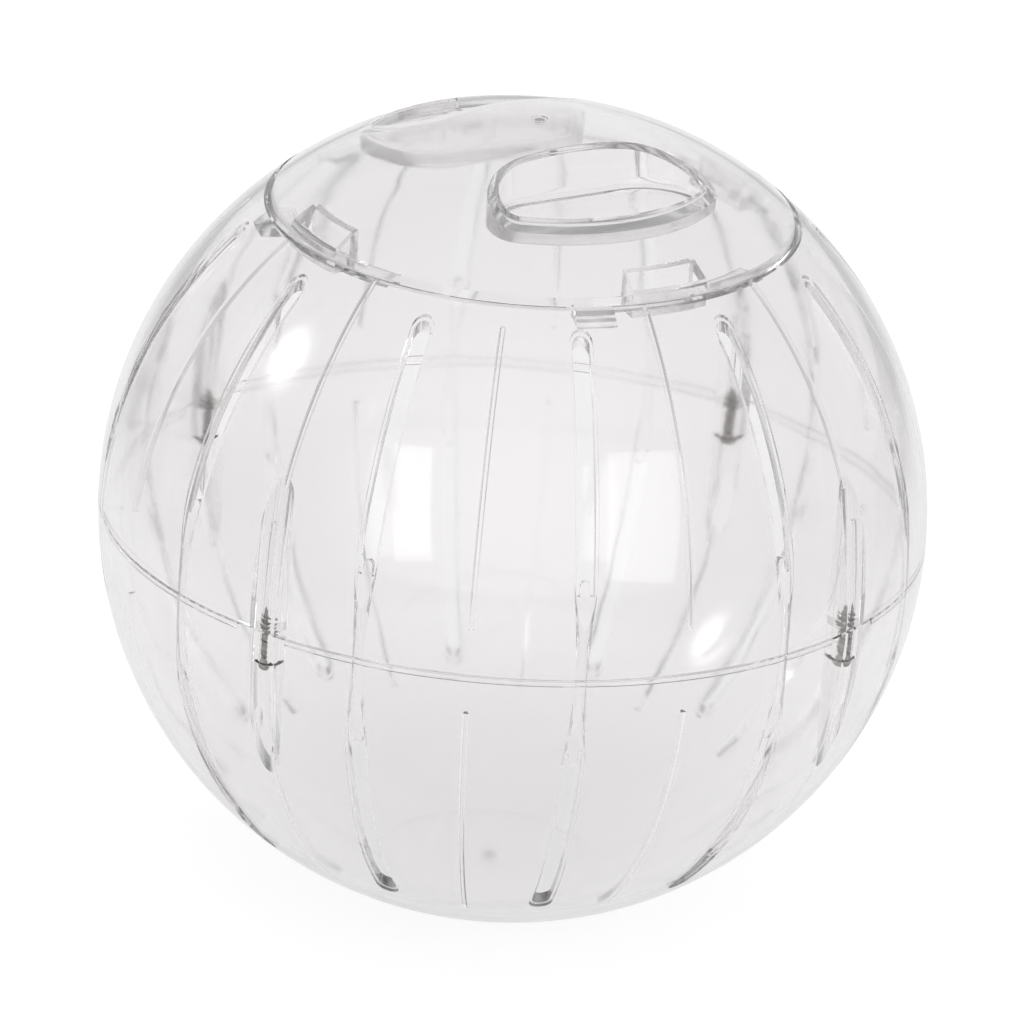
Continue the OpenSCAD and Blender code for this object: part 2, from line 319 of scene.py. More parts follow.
def ball(name, radius, segments=SEGMENTS):
    """A full sphere."""
    side = arc(radius, -math.pi / 2 + STEP, math.pi / 2 - STEP)
    return lathe(name, [(0.0, -radius), *side, (0.0, radius)], segments)


def plain(piece, name=None):
    """The piece as it is with its modifiers, as a plain mesh object."""
    graph = bpy.context.evaluated_depsgraph_get()
    mesh = bpy.data.meshes.new_from_object(piece.evaluated_get(graph), depsgraph=graph)
    done = bpy.data.objects.new(name or piece.name, mesh)
    bpy.context.scene.collection.objects.link(done)
    drop(piece)
    done.name = name or done.name
    return done


def combine(piece, others, operation):
    """Joins the others to the piece, cuts them out of it or keeps what they share, and uses them up."""
    for other in others:
        change = piece.modifiers.new("Change", "BOOLEAN")
        change.operation = operation
        change.solver = "MANIFOLD"
        change.object = other
        bpy.context.view_layer.update()
        piece = plain(piece, piece.name)
        drop(other)
    return piece


def shade(piece, radii):
    """Gives every corner its normal: the radius on the spheres, smoothed over shallow edges elsewhere."""
    mesh = piece.data
    count = len(mesh.vertices)
    points = np.empty(count * 3)
    mesh.vertices.foreach_get("co", points)
    points = points.reshape(-1, 3)
    corner_point = np.empty(len(mesh.loops), int)
    mesh.loops.foreach_get("vertex_index", corner_point)
    starts, totals = np.empty(len(mesh.polygons), int), np.empty(len(mesh.polygons), int)
    mesh.polygons.foreach_get("loop_start", starts)
    mesh.polygons.foreach_get("loop_total", totals)
    face_normal = np.empty(len(mesh.polygons) * 3)
    mesh.polygons.foreach_get("normal", face_normal)
    face_normal = face_normal.reshape(-1, 3)
    corner_face = np.repeat(np.arange(len(starts)), totals)
    reach = np.linalg.norm(points, axis=1)
    outward = points / np.maximum(reach, 1e-9)[:, None]
    corner_normal = face_normal[corner_face].copy()
    along = np.einsum("ij,ij->i", outward[corner_point], corner_normal)
    round_face = np.zeros(len(starts), bool)
    for radius in radii:
        off = np.abs(reach[corner_point] - radius)
        worst = np.maximum.reduceat(off, starts)
        lean = np.minimum.reduceat(np.abs(along), starts)
        round_face |= (worst < ON_SPHERE) & (lean > ACROSS_RADIUS)
    on_ball = round_face[corner_face]
    corner_normal[on_ball] = outward[corner_point[on_ball]] * np.sign(along[on_ball])[:, None]
    # Elsewhere each corner takes the mean of the faces round its point at a shallow angle to its own.
    before = np.empty_like(corner_point)
    after = np.empty_like(corner_point)
    for start, total in zip(starts, totals):
        block = corner_point[start : start + total]
        before[start : start + total] = np.roll(block, 1)
        after[start : start + total] = np.roll(block, -1)
    first = points[before] - points[corner_point]
    second = points[after] - points[corner_point]
    size = np.linalg.norm(first, axis=1) * np.linalg.norm(second, axis=1)
    opening = np.arccos(np.clip(np.einsum("ij,ij->i", first, second) / np.maximum(size, 1e-12), -1, 1))
    rest = np.nonzero(~on_ball)[0]
    by_point = {}
    for corner in rest:
        by_point.setdefault(corner_point[corner], []).append(corner)
    for corners in by_point.values():
        normals = face_normal[corner_face[corners]]
        near = (normals @ normals.T) > math.cos(SHALLOW)
        weights = np.maximum(opening[corners], 1e-4)
        corner_normal[corners] = near @ (normals * weights[:, None])
    corner_normal /= np.maximum(np.linalg.norm(corner_normal, axis=1), 1e-12)[:, None]
    mesh.polygons.foreach_set("use_smooth", np.ones(len(starts), bool))
    mesh.normals_split_custom_set([tuple(n) for n in corner_normal])


def settle(piece, name, material, body, nodes, height):
    """Brings a piece from millimetres round the ball's middle to metres, and hands it to the frame."""
    piece.name = name
    piece.data.name = name
    piece.data.transform(Matrix.Translation((0, 0, height)) @ Matrix.Scale(1 / MM, 4))
    piece.data.materials.clear()
    piece.data.materials.append(material)
    piece.data.polygons.foreach_set("material_index", np.zeros(len(piece.data.polygons), int))
    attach(piece, body)
    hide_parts(*nodes)
    return piece


# Geometry nodes


def add_node(group, kind, values=None, **settings):
    """A node with its settings and its inputs: sockets, plain values, or a list of sockets for one input."""
    made = group.nodes.new(kind)
    for key, setting in settings.items():
        setattr(made, key, setting)
    for key, value in (values or {}).items():
        for item in value if isinstance(value, list) else [value]:
            if isinstance(item, bpy.types.NodeSocket):
                group.links.new(item, made.inputs[key])
            else:
                made.inputs[key].default_value = item
    return made


class Tree:
    """A geometry node tree that is put together from its inputs to its output."""

    def __init__(self, name):
        self.group = bpy.data.node_groups.new(name, "GeometryNodeTree")
        self.group.interface.new_socket("Geometry", in_out="OUTPUT", socket_type="NodeSocketGeometry")
        self.inputs = self.group.nodes.new("NodeGroupInput")

    def value(self, name, default, kind="NodeSocketFloat"):
        """A named input of the tree."""
        socket = self.group.interface.new_socket(name, in_out="INPUT", socket_type=kind)
        if default is not None:
            socket.default_value = default
        return self.inputs.outputs[name]

    def make(self, kind, values=None, **settings):
        """What a new node gives."""
        return add_node(self.group, kind, values, **settings).outputs[0]

    def math(self, operation, a, b=0.0):
        """A sum of two values."""
        return self.make("ShaderNodeMath", {0: a, 1: b}, operation=operation)

    def times(self, a, b):
        """One value times another."""
        return self.math("MULTIPLY", a, b)

    def between(self, low, high, share):
        """A value that lies a share of the way from low to high."""
        return self.math("ADD", low, self.times(self.math("SUBTRACT", high, low), share))

    def point(self, x, y, z):
        """A point from three values."""
        return self.make("ShaderNodeCombineXYZ", {"X": x, "Y": y, "Z": z})

    def polar(self, reach, turn, height):
        """A point at a distance from Z, at an angle from the front."""
        back = self.times(reach, self.math("COSINE", turn))
        return self.point(self.times(reach, self.math("SINE", turn)), self.times(back, -1.0), height)

    def places(self):
        """The three coordinates of each point of a geometry."""
        place = self.make("GeometryNodeInputPosition")
        return add_node(self.group, "ShaderNodeSeparateXYZ", {0: place}).outputs

    def box(self, x, y, z):
        """A plain block."""
        return self.make("GeometryNodeMeshCube", {"Size": self.point(x, y, z)})

    def sphere(self, segments, radius):
        """A sphere round the middle."""
        values = {"Segments": segments, "Rings": segments // 2, "Radius": radius}
        return self.make("GeometryNodeMeshUVSphere", values)

    def cylinder(self, points, radius, depth):
        """An upright cylinder."""
        return self.make("GeometryNodeMeshCylinder", {"Vertices": points, "Radius": radius, "Depth": depth})

    def moved(self, geometry, place, turn=(0.0, 0.0, 0.0)):
        """The geometry shifted and turned."""
        values = {"Geometry": geometry, "Translation": place, "Rotation": turn}
        return self.make("GeometryNodeTransform", values)

    def reshaped(self, geometry, place):
        """The geometry with its points put elsewhere."""
        return self.make("GeometryNodeSetPosition", {"Geometry": geometry, "Position": place})

    def boolean(self, operation, first, *others, solver="MANIFOLD"):
        """The first mesh joined with the others, cut by them, or kept where they all are."""
        meshes = {0: first, 1: list(others)} if operation == "DIFFERENCE" else {1: [first, *others]}
        return self.make("GeometryNodeMeshBoolean", meshes, operation=operation, solver=solver)

    def around(self, geometry, count, start):
        """The geometry repeated round Z."""
        step = self.math("DIVIDE", 2 * math.pi, count)
        turn = self.math("ADD", self.times(self.make("GeometryNodeInputIndex"), step), start)
        return self.make("GeometryNodeInstanceOnPoints", {
            "Points": self.make("GeometryNodePoints", {"Count": count}), "Instance": geometry,
            "Rotation": self.point(0.0, 0.0, turn),
        })

    def finish(self, geometry):
        """Ends the tree in plain geometry with its material."""
        material = self.value("Material", None, "NodeSocketMaterial")
        real = self.make("GeometryNodeRealizeInstances", {"Geometry": geometry})
        add_node(self.group, "NodeGroupOutput", {
            0: self.make("GeometryNodeSetMaterial", {"Geometry": real, "Material": material}),
        })
        return self.group


def grown(tree, name, values):
    """The plain mesh that a tree makes from these inputs."""
    blank = bpy.data.meshes.new(name)
    piece = bpy.data.objects.new(name, blank)
    bpy.context.scene.collection.objects.link(piece)
    grow = piece.modifiers.new("Grow", "NODES")
    grow.node_group = tree
    names = {s.name: s.identifier for s in tree.interface.items_tree if s.in_out == "INPUT"}
    for key, value in values.items():
        grow[names[key]] = value
    bpy.context.view_layer.update()
    return plain(piece, name)


def curved_block(tree, across, cuts):
    """A block of unit size, cut finely along one axis, and how far its points lie along each axis."""
    block = tree.make("GeometryNodeMeshCube", {
        "Size": (1.0, 1.0, 1.0), "Vertices X": cuts if across else 2, "Vertices Y": 2,
        "Vertices Z": 2 if across else cuts,
    })
    return block, [tree.math("ADD", along, 0.5) for along in tree.places()]


def sector_tree():
    """Ring sectors round Z, for lugs, windows, stops, gaps and the tongue. Angles start at the front."""
    tree = Tree("Ring Sectors")
    count = tree.value("Count", 4, "NodeSocketInt")
    start, span = tree.value("Start", 0.0), tree.value("Width", 0.3)
    inner, outer = tree.value("Inner Radius", 50.0), tree.value("Outer Radius", 54.0)
    low, high = tree.value("Low", 0.0), tree.value("High", 2.0)
    block, (u, v, w) = curved_block(tree, True, 64)
    turn = tree.math("ADD", start, tree.times(span, u))
    place = tree.polar(tree.between(inner, outer, v), turn, tree.between(low, high, w))
    bent = tree.make("GeometryNodeFlipFaces", {"Mesh": tree.reshaped(block, place)})
    return tree.finish(tree.around(bent, count, 0.0))


def rib_tree():
    """Ribs that follow the inside of a shell from one angle over the seam to another, round Z."""
    tree = Tree("Shell Ribs")
    count, start = tree.value("Count", 12, "NodeSocketInt"), tree.value("Start", 0.0)
    width, top_width = tree.value("Width", 1.6), tree.value("Top Width", 0.6)
    inner, outer = tree.value("Inner Radius", 86.8), tree.value("Outer Radius", 88.2)
    low, high = tree.value("Low Angle", 0.1), tree.value("High Angle", 0.9)
    block, (u, v, w) = curved_block(tree, False, 48)
    reach, lift = tree.between(inner, outer, v), tree.between(low, high, w)
    place = tree.point(
        tree.times(tree.math("SUBTRACT", u, 0.5), tree.between(top_width, width, v)),
        tree.times(tree.times(reach, tree.math("COSINE", lift)), -1.0),
        tree.times(reach, tree.math("SINE", lift)),
    )
    bent = tree.make("GeometryNodeFlipFaces", {"Mesh": tree.reshaped(block, place)})
    return tree.finish(tree.around(bent, count, start))


def slot_tree():
    """The upright cutters of a shell's slots, with the groove and the round-ended tab at their lower ends."""
    tree = Tree("Shell Slots")
    count, start = tree.value("Count", 12, "NodeSocketInt"), tree.value("Start", 0.0)
    width, top = tree.value("Width", 3.7), tree.value("Top", 90.0)
    near, far = tree.value("Near End", 61.6), tree.value("Far End", 89.3)
    floor, through = tree.value("Floor Radius", 88.9), tree.value("Through Height", 17.6)
    tab_width, tab_height = tree.value("Tab Width", 2.1), tree.value("Tab Height", 3.1)
    half, lift = tree.times(width, 0.5), tree.times(top, 0.5)
    straight = tree.math("SUBTRACT", tree.math("SUBTRACT", far, near), width)
    middle = tree.times(tree.math("ADD", far, near), -0.5)
    outline = [tree.moved(tree.box(width, straight, top), tree.point(0.0, middle, lift))]
    for reach in (tree.math("ADD", near, half), tree.math("SUBTRACT", far, half)):
        end = tree.point(0.0, tree.times(reach, -1.0), lift)
        outline.append(tree.moved(tree.cylinder(48, half, top), end))
    # Below the through height, and in the tab above it, the cutter ends at the groove's floor.
    sphere = tree.sphere(SEGMENTS, floor)
    tab_radius = tree.times(tab_width, 0.5)
    rise = tree.math("SUBTRACT", tree.math("ADD", through, tab_height), tab_radius)
    tab = tree.cylinder(48, tab_radius, PAST_BALL)
    shallow = tree.boolean(
        "UNION",
        tree.box(tree.times(width, 4.0), PAST_BALL, tree.times(through, 2.0)),
        tree.moved(tab, tree.point(0.0, 0.0, rise), (math.pi / 2, 0.0, 0.0)),
        tree.box(tab_width, PAST_BALL, tree.times(rise, 2.0)),
    )
    core = tree.boolean("INTERSECT", sphere, shallow)
    cut = tree.boolean("DIFFERENCE", tree.boolean("UNION", *outline), core)
    return tree.finish(tree.around(cut, count, start))


def screw_tree():
    """A self-tapping screw, head down, with its thread, its point and the cross recess in its head."""
    tree = Tree("Shell Screw")
    reach, turn, seat = tree.value("Reach", 85.6), tree.value("Angle", 0.0), tree.value("Seat Height", -8.0)
    thread, core = tree.value("Thread Diameter", 2.6), tree.value("Core Diameter", 1.8)
    pitch, shank, tip = tree.value("Pitch", 1.1), tree.value("Length", 12.0), tree.value("Tip Length", 1.8)
    head, thick = tree.value("Head Diameter", 4.4), tree.value("Head Height", 1.6)
    core_radius = tree.times(core, 0.5)
    body_length = tree.math("SUBTRACT", shank, tip)
    body = tree.cylinder(32, core_radius, body_length)
    body = tree.moved(body, tree.point(0.0, 0.0, tree.times(body_length, 0.5)))
    point = tree.make("GeometryNodeMeshCone", {
        "Vertices": 32, "Radius Top": tree.times(core, POINT_END), "Radius Bottom": core_radius, "Depth": tip,
    })
    point = tree.moved(point, tree.point(0.0, 0.0, body_length))
    # The thread is a triangle swept along a spiral, which narrows over the point.
    spiral = tree.make("GeometryNodeCurveSpiral", {
        "Resolution": 28, "Rotations": tree.math("DIVIDE", shank, pitch), "Start Radius": core_radius,
        "End Radius": core_radius, "Height": shank,
    })
    x, y, z = tree.places()
    narrow = tree.make("ShaderNodeClamp", {
        "Value": tree.math("DIVIDE", tree.math("SUBTRACT", shank, z), tip), "Min": THREAD_END, "Max": 1.0,
    })
    spiral = tree.reshaped(spiral, tree.point(tree.times(x, narrow), tree.times(y, narrow), z))
    ridge = tree.math("SUBTRACT", tree.times(thread, 0.5), core_radius)
    profile = tree.make("GeometryNodeCurvePrimitiveCircle", {"Resolution": 3, "Radius": ridge}, mode="RADIUS")
    sweep = {"Curve": spiral, "Profile Curve": profile, "Fill Caps": True}
    winding = tree.make("GeometryNodeCurveToMesh", sweep)
    # The pan head is a flattened dome with the recess cut out of it.
    dome = tree.sphere(40, tree.times(head, 0.5))
    x, y, z = tree.places()
    squeeze = tree.math("DIVIDE", tree.times(thick, DOME), head)
    lower = tree.math("MAXIMUM", tree.times(z, squeeze), tree.times(thick, -1.0))
    dome = tree.reshaped(dome, tree.point(x, y, tree.math("MINIMUM", lower, 0.0)))
    dome = tree.make("GeometryNodeMergeByDistance", {"Geometry": dome, "Distance": 0.001})
    size = (tree.times(head, RECESS_LENGTH), tree.times(head, RECESS_WIDTH), tree.times(thick, RECESS_DEPTH))
    foot = tree.point(0.0, 0.0, tree.times(thick, -1.0))
    bars = [tree.moved(tree.box(*size), foot, (0.0, 0.0, spin)) for spin in (0.0, math.pi / 2)]
    cap = tree.boolean("DIFFERENCE", dome, *bars, solver="EXACT")
    whole = tree.make("GeometryNodeJoinGeometry", {0: [body, point, winding, cap]})
    return tree.finish(tree.moved(whole, tree.polar(reach, turn, seat)))


# Materials


def blank_material(name):
    """A material without nodes, and what puts nodes into it."""
    material = bpy.data.materials.new(name)
    material.use_nodes = True
    material.node_tree.nodes.clear()
    return material, partial(add_node, material.node_tree)


def calc(put, operation, *values):
    """A sum of values."""
    return put("ShaderNodeMath", dict(enumerate(values)), operation=operation).outputs[0]


def measure(put, operation, *values):
    """The number that a sum of vectors gives."""
    return put("ShaderNodeVectorMath", dict(enumerate(values)), operation=operation).outputs["Value"]


def carry(put, value, low, high, first, last, kind="LINEAR"):
    """A value carried over from one range to another."""
    ends = {"From Min": low, "From Max": high, "To Min": first, "To Max": last}
    return put("ShaderNodeMapRange", {"Value": value, **ends}, interpolation_type=kind).outputs["Result"]


def noise(put, place, scale, detail):
    """Soft noise."""
    return put("ShaderNodeTexNoise", {"Vector": place, "Scale": scale, "Detail": detail}).outputs["Fac"]


def blend(put, share, first, second):
    """A colour that lies a share of the way from the first to the second."""
    colours = {"A": (*first, 1), "B": (*second, 1)}
    return put("ShaderNodeMix", {"Factor": share, **colours}, data_type="RGBA").outputs["Result"]


def clear_plastic(name, finish, height):
    """Clear moulded plastic, wavy and a little hazy inside, which lets lamps through to the floor."""
    material, put = blank_material(name)
    place = put("ShaderNodeTexCoord").outputs["Object"]
    # The haze softens what stands far behind the inner side. The outer side is nearly smooth.
    reach = measure(put, "DISTANCE", place, (0, 0, height))
    side = carry(put, reach, BALL_RADIUS - INNER_SIDE, BALL_RADIUS - OUTER_SIDE, 1.0, OUTER_SHARE)
    flow = noise(put, place, finish.wave_scale, 1.0)
    wave = put("ShaderNodeBump", {"Strength": side, "Distance": finish.wave_depth, "Height": flow})
    gloss = carry(put, noise(put, place, 55.0, 5.0), 0.45, 0.8, 0.0, 0.05)
    # The moulding mark on the axis is a little frosted dot, and its colour darkens it with painted shade.
    flat = put("ShaderNodeVectorMath", {0: place, 1: (1, 1, 0)}, operation="MULTIPLY").outputs["Vector"]
    mark = carry(put, measure(put, "LENGTH", flat), finish.mark_radius * 0.8, finish.mark_radius, 1.0, 0.0)
    frost = calc(put, "MULTIPLY_ADD", mark, 0.6, gloss)
    surface = put("ShaderNodeBsdfPrincipled", {
        "Base Color": blend(put, mark, finish.plastic, finish.mark), "Transmission Weight": 1.0, "IOR": 1.5,
        "Roughness": calc(put, "MULTIPLY_ADD", side, finish.haze, frost), "Normal": wave.outputs["Normal"],
    })
    lamp_way = put("ShaderNodeBsdfTransparent", {"Color": (LAMP_WAY, LAMP_WAY, LAMP_WAY, 1)})
    shadow = put("ShaderNodeLightPath").outputs["Is Shadow Ray"]
    choose = put("ShaderNodeMixShader", {0: shadow, 1: surface.outputs[0], 2: lamp_way.outputs[0]})
    tint = {"Color": (*finish.depth_tint, 1), "Density": finish.tint_strength}
    depth = put("ShaderNodeVolumeAbsorption", tint)
    put("ShaderNodeOutputMaterial", {"Surface": choose.outputs[0], "Volume": depth.outputs[0]})
    return material


def screw_steel(finish):
    """Dark plated steel with fine turning marks."""
    material, put = blank_material("Screw Steel")
    place = put("ShaderNodeTexCoord").outputs["Object"]
    grain = noise(put, place, 900.0, 4.0)
    surface = put("ShaderNodeBsdfPrincipled", {
        "Base Color": blend(put, grain, [c * 0.6 for c in finish.steel], finish.steel), "Metallic": 1.0,
        "Roughness": carry(put, grain, 0.0, 1.0, 0.25, 0.5),
    })
    put("ShaderNodeOutputMaterial", {"Surface": surface.outputs[0]})
    return material


def floor_with_painted_shade(finish):
    """Pale paint with painted shade that darkens it to either side of the line of sight, which gives the
    clear ball its outline.
    """
    material, put = blank_material("Floor With Painted Shade")
    place = put("ShaderNodeTexCoord").outputs["Object"]
    aside = measure(put, "DOT_PRODUCT", place, (math.cos(TURN), math.sin(TURN), 0.0))
    # Painted shade: the floor's colour and glow darken to either side of the line of sight.
    fade = carry(put, calc(put, "ABSOLUTE", aside), FADE_START, FADE_END, 1.0, FADE_LEVEL, "SMOOTHSTEP")
    ray = put("ShaderNodeLightPath").outputs
    plastic = calc(put, "MAXIMUM", ray["Is Glossy Ray"], ray["Is Transmission Ray"])
    through = calc(put, "MULTIPLY", plastic, FLOOR_THROUGH)
    shown = calc(put, "MULTIPLY_ADD", ray["Is Camera Ray"], FLOOR_SEEN, through)
    surface = put("ShaderNodeBsdfPrincipled", {
        "Base Color": blend(put, fade, (0, 0, 0), finish.floor), "Roughness": 0.9, "Specular IOR Level": 0.1,
        "Emission Color": (1, 1, 1, 1), "Emission Strength": calc(put, "MULTIPLY", shown, fade),
    })
    put("ShaderNodeOutputMaterial", {"Surface": surface.outputs[0]})
    return material


def once(name, make):
    """The material of that name, made the first time that it's asked for."""
    return bpy.data.materials.get(name) or make()


def plastic_for(context, name):
    """The clear plastic of the shells or of the lid."""
    height = middle_height(context.scene.ball_sizes)
    return once(name, lambda: clear_plastic(name, context.scene.ball_finish, height))


def middle_height(sizes):
    """Height of the ball's middle over its flat base, in metres."""
    return math.sqrt(sizes.radius**2 - sizes.base_radius**2)


# Pieces


def shell_extras(context, upward):
    """The ribs and the slot cutters that both shells have, as they stand in the upper shell."""
    sizes, slots = context.scene.ball_sizes, context.scene.ball_slots
    outer, inner = mm(sizes.radius), mm(sizes.radius - sizes.wall)
    ledge_end = math.asin((mm(sizes.ledge_height) - mm(sizes.ledge_wall)) / inner) + RIB_PAST
    ribs = grown(rib_tree(), "Ribs", {
        "Count": slots.count, "Start": sizes.shell_turn + math.pi / slots.count,
        "Width": mm(slots.rib_width), "Top Width": mm(slots.rib_top),
        "Inner Radius": inner - mm(slots.rib_height), "Outer Radius": inner + weld(sizes),
        "Low Angle": slots.rib_start, "High Angle": ledge_end if upward else slots.rib_end,
    })
    tree, edge = slot_tree(), mm(slots.edge_width)
    common = {
        "Count": slots.count, "Start": sizes.shell_turn, "Top": outer, "Far End": mm(slots.far),
        "Tab Width": mm(slots.tongue_width), "Tab Height": mm(slots.tongue_height),
    }
    cutters = grown(tree, "Slot Cutters", {
        **common, "Width": mm(slots.width), "Near End": mm(slots.near),
        "Floor Radius": mm(sizes.radius - slots.groove), "Through Height": mm(slots.through),
    })
    edges = grown(tree, "Slot Edges", {
        **common, "Width": mm(slots.width) + 2 * edge, "Near End": mm(slots.near) - edge,
        "Floor Radius": mm(sizes.radius - slots.edge_depth), "Through Height": outer,
    })
    return ribs, cutters, edges


def weld(sizes):
    """How far the parts that are joined to the inside of a shell reach into its wall."""
    return mm(sizes.wall) / 4


def screw_spots(context):
    """Angle and place of each screw round the ball, in millimetres."""
    sizes, screws = context.scene.ball_sizes, context.scene.ball_screws
    spots = []
    for i in range(4):
        turn = sizes.shell_turn + screws.start + i * math.pi / 2
        spots.append((turn, mm(screws.reach) * math.sin(turn), -mm(screws.reach) * math.cos(turn)))
    return spots


def rod(name, x, y, radius, low, high, segments=64):
    """An upright round bar."""
    turns = [2 * math.pi * i / segments for i in range(segments)]
    ring = [(x + radius * math.cos(t), y + radius * math.sin(t)) for t in turns]
    return loft(name, [[(px, py, height) for px, py in ring] for height in (low, high)])


def flip(piece):
    """Mirrors a piece at the seam, for the lower shell."""
    piece.data.transform(Matrix.Scale(-1, 4, (0, 0, 1)))
    piece.data.flip_normals()
    return piece


def bosses(context, low, high):
    """The screw bosses, where they stand inside the wall."""
    sizes, screws = context.scene.ball_sizes, context.scene.ball_screws
    inside = mm(sizes.radius - sizes.wall) + weld(sizes)
    made = []
    for _, x, y in screw_spots(context):
        post = rod("Boss", x, y, mm(screws.boss) / 2, low, high)
        made.append(combine(post, [ball("Inside", inside, 120)], "INTERSECT"))
    return made


def tongue(context, play):
    """The tongue along the seam, or with play the rebate for it, between the screw bosses."""
    sizes, screws = context.scene.ball_sizes, context.scene.ball_screws
    inner = mm(sizes.radius - sizes.wall)
    keep = mm(screws.boss) / 2 + mm(sizes.tongue_stop) - play
    half = math.asin(keep / inner)
    return grown(sector_tree(), "Tongue", {
        "Count": 4, "Start": sizes.shell_turn + screws.start + half, "Width": math.pi / 2 - 2 * half,
        "Inner Radius": inner - (PAST_FACE * 1.5 if play else 0.0),
        "Outer Radius": inner + mm(sizes.tongue_thickness) + play,
        "Low": -mm(sizes.tongue_height) - play, "High": mm(sizes.edge),
    })


def finish_shell(context, shell, name):
    """Shades a shell and hands it to the frame."""
    sizes, slots = context.scene.ball_sizes, context.scene.ball_slots
    outer, inner = mm(sizes.radius), mm(sizes.radius - sizes.wall)
    floors = (outer - mm(slots.groove), outer - mm(slots.edge_depth), inner - mm(slots.rib_height))
    shade(shell, (outer, inner, *floors))
    plastic = plastic_for(context, "Shell Plastic")
    settle(shell, name, plastic, "ball", [name.lower()], middle_height(sizes))


class BALL_OT_upper_shell(bpy.types.Operator):
    """Build the upper shell with its slots, ribs, bosses, collar and ledge"""

    bl_idname = "ball.upper_shell"
    bl_label = "Upper Shell"

    def execute(self, context):
        scene = context.scene
        sizes, lid, screws = scene.ball_sizes, scene.ball_lid, scene.ball_screws
        outer, inner = mm(sizes.radius), mm(sizes.radius - sizes.wall)
        opening, edge, lip = mm(sizes.opening_radius), mm(sizes.edge), mm(sizes.seam_edge)
        ledge, bore, thick = mm(sizes.ledge_height), mm(sizes.ledge_bore), mm(sizes.ledge_wall)
        seam, under = mm(sizes.seam_gap) / 2, ledge - thick
        rim = math.sqrt(outer**2 - opening**2)
        profile = [(outer - lip, seam)]
        profile += arc(outer, math.asin((seam + lip) / outer), math.acos((opening + edge) / outer))
        profile += [(opening + edge * 0.3, rim - edge * 0.25), (opening, rim - edge)]
        profile += [(opening, ledge), (bore, ledge), (bore, under)]
        profile += arc(inner, math.asin(under / inner), math.asin(seam / inner))
        shell = lathe("Upper Shell", profile)
        ribs, cutters, edges = shell_extras(context, True)
        lug_bottom = under - mm(lid.ledge_play) - mm(lid.lug_height)
        stops = grown(sector_tree(), "Stops", {
            "Count": lid.lug_count, "Start": sizes.shell_turn + STOP_START, "Width": STOP_WIDTH,
            "Inner Radius": mm(sizes.stop_bore), "Outer Radius": LEDGE_OUTSIDE,
            "Low": lug_bottom, "High": ledge - thick / 2,
        })
        stops = combine(stops, [ball("Inside", inner + weld(sizes), 120)], "INTERSECT")
        shell = combine(shell, [ribs, stops, *bosses(context, seam, outer), tongue(context, 0.0)], "UNION")
        gaps = grown(sector_tree(), "Gaps", {
            "Count": lid.lug_count, "Start": sizes.shell_turn + GAP_START, "Width": GAP_WIDTH,
            "Inner Radius": LEDGE_INSIDE, "Outer Radius": LEDGE_OUTSIDE,
            "Low": lug_bottom - PAST_FACE / 2, "High": ledge + PAST_FACE,
        })
        cuts = [cutters, edges, combine(gaps, [ball("Inside", inner)], "INTERSECT")]
        for _, x, y in screw_spots(context):
            cuts.append(rod("Pilot", x, y, mm(screws.pilot) / 2, -PAST_FACE, mm(screws.pilot_height), 24))
        finish_shell(context, combine(shell, cuts, "DIFFERENCE"), "Upper_Shell")
        return {"FINISHED"}


class BALL_OT_lower_shell(bpy.types.Operator):
    """Build the lower shell with its slots, ribs, screw channels and flat base"""

    bl_idname = "ball.lower_shell"
    bl_label = "Lower Shell"

    def execute(self, context):
        scene = context.scene
        sizes, lid, screws = scene.ball_sizes, scene.ball_lid, scene.ball_screws
        outer, inner, wall = mm(sizes.radius), mm(sizes.radius - sizes.wall), mm(sizes.wall)
        foot, base, seam = mm(sizes.base_radius), mm(middle_height(sizes)), mm(sizes.seam_gap) / 2
        gate, pit = mm(lid.gate_radius), -base + mm(lid.gate_depth)
        edge, lip = mm(sizes.edge), mm(sizes.seam_edge)
        profile = [(0.0, pit), (gate, pit), (gate, -base), (foot - edge, -base)]
        profile += arc(outer, -math.acos((foot + edge / 2) / outer), -math.asin((seam + lip) / outer))
        profile += [(outer - lip, -seam)]
        profile += arc(inner, -math.asin(seam / inner), -math.asin((base - wall) / inner))
        profile += [(0.0, -base + wall)]
        shell = lathe("Lower Shell", profile)
        ribs, cutters, edges = shell_extras(context, False)
        shell = combine(shell, [flip(ribs), *bosses(context, -outer, -seam)], "UNION")
        cuts = [flip(cutters), flip(edges), tongue(context, mm(sizes.tongue_play))]
        seat = -mm(screws.seat)
        for _, x, y in screw_spots(context):
            cuts.append(rod("Channel", x, y, mm(screws.channel) / 2, -outer, seat))
            cuts.append(rod("Clearance", x, y, mm(screws.clearance) / 2, seat - PAST_FACE, PAST_FACE, 32))
        finish_shell(context, combine(shell, cuts, "DIFFERENCE"), "Lower_Shell")
        return {"FINISHED"}


def well_ring(lid, grow, height):
    """The outline of the front finger well, grown outwards, with its height given for each point."""
    near, far = mm(lid.well_near), mm(lid.well_far)
    half, corner = mm(lid.well_half), mm(lid.well_corner)
    corner_x = half - corner
    middle = math.sqrt((far - corner) ** 2 - corner_x**2)
    big = middle - near
    lean = math.atan2(-middle, corner_x)
    fine = math.radians(3)
    right = arc(big + grow, math.pi / 2, 0.0, (half - big, -middle), fine)
    right += arc(corner + grow, 0.0, lean, (corner_x, -middle), fine)[1:]
    outline = right + arc(far + grow, lean, -math.pi - lean, (0.0, 0.0), math.radians(1.5))[1:]
    outline += [(-x, y) for x, y in right[::-1][1:]]
    return [(x, y, height(x, y)) for x, y in outline]


def quarter(steps):
    """Angles over a quarter turn, which round off an edge."""
    return [math.pi / 2 * i / steps for i in range(steps + 1)]


